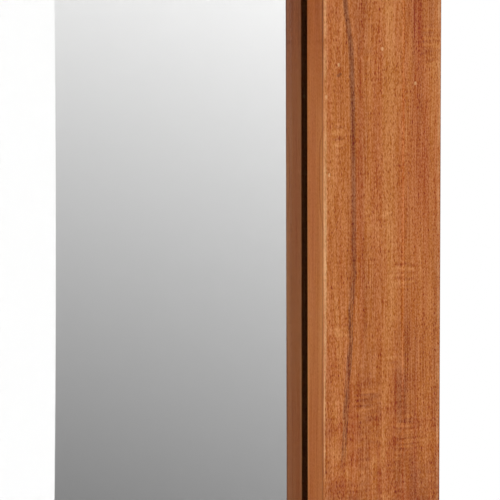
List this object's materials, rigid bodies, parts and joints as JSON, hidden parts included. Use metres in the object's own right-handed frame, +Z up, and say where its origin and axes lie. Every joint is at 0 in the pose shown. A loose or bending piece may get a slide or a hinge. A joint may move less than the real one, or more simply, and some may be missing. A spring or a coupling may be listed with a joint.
{
  "type": "wall mirror with drawers",
  "caption": "Wood framed wall mirror with a shelf and small dovetailed drawers under the glass, hung from keyhole plates let into the backs of its stiles.",
  "frame": {"origin": "midway between the two hanging keyholes, on the plane of the frame's back, which lies on the wall", "axes": "+X to the viewer's right, +Y into the wall, +Z up; the mirror faces -Y"},
  "size_m": [0.612, 0.172, 0.8],
  "materials": {
    "frame_wood": "satin honey lacquer",
    "drawer_wood": "sanded",
    "knob_wood": "satin lacquer",
    "dowel_wood": "plain",
    "plywood": "sanded",
    "hardboard": "plain",
    "mirror_glass": "polished",
    "foam_tape": "matt",
    "screw_steel": "zinc plated",
    "plate_steel": "zinc plated"
  },
  "bodies": {
    "frame": {"backing_board": "hardboard", "backing_screws": "screw_steel", "bottom_rail": "frame_wood", "case_back": "hardboard", "case_divider": "frame_wood", "case_dowels": "dowel_wood", "case_floor": "frame_wood", "case_screws": "screw_steel", "case_side_left": "frame_wood", "case_side_right": "frame_wood", "keyhole_plate_left": "plate_steel", "keyhole_plate_right": "plate_steel", "left_drawer_stop": "frame_wood", "middle_rail": "frame_wood", "mirror_pane": "mirror_glass", "mirror_tape": "foam_tape", "plate_screws": "screw_steel", "right_drawer_stop": "frame_wood", "shelf_board": "frame_wood", "stile_left": "frame_wood", "stile_right": "frame_wood", "top_rail": "frame_wood"},
    "left_drawer": {"left_drawer_front": "frame_wood", "left_drawer_side_right": "drawer_wood", "left_drawer_side_left": "drawer_wood", "left_drawer_back": "drawer_wood", "left_drawer_bottom": "plywood", "left_drawer_bottom_screws": "screw_steel", "left_drawer_knob": "knob_wood", "left_drawer_knob_screw": "screw_steel"},
    "right_drawer": {"right_drawer_front": "frame_wood", "right_drawer_side_right": "drawer_wood", "right_drawer_side_left": "drawer_wood", "right_drawer_back": "drawer_wood", "right_drawer_bottom": "plywood", "right_drawer_bottom_screws": "screw_steel", "right_drawer_knob": "knob_wood", "right_drawer_knob_screw": "screw_steel"}
  },
  "joints": [
    {"name": "left_drawer_slide", "type": "slide", "parent": "frame", "child": "left_drawer", "axis": [0, -1, 0], "range_m": [0, 0.08]},
    {"name": "right_drawer_slide", "type": "slide", "parent": "frame", "child": "right_drawer", "axis": [0, -1, 0], "range_m": [0, 0.08]}
  ]
}
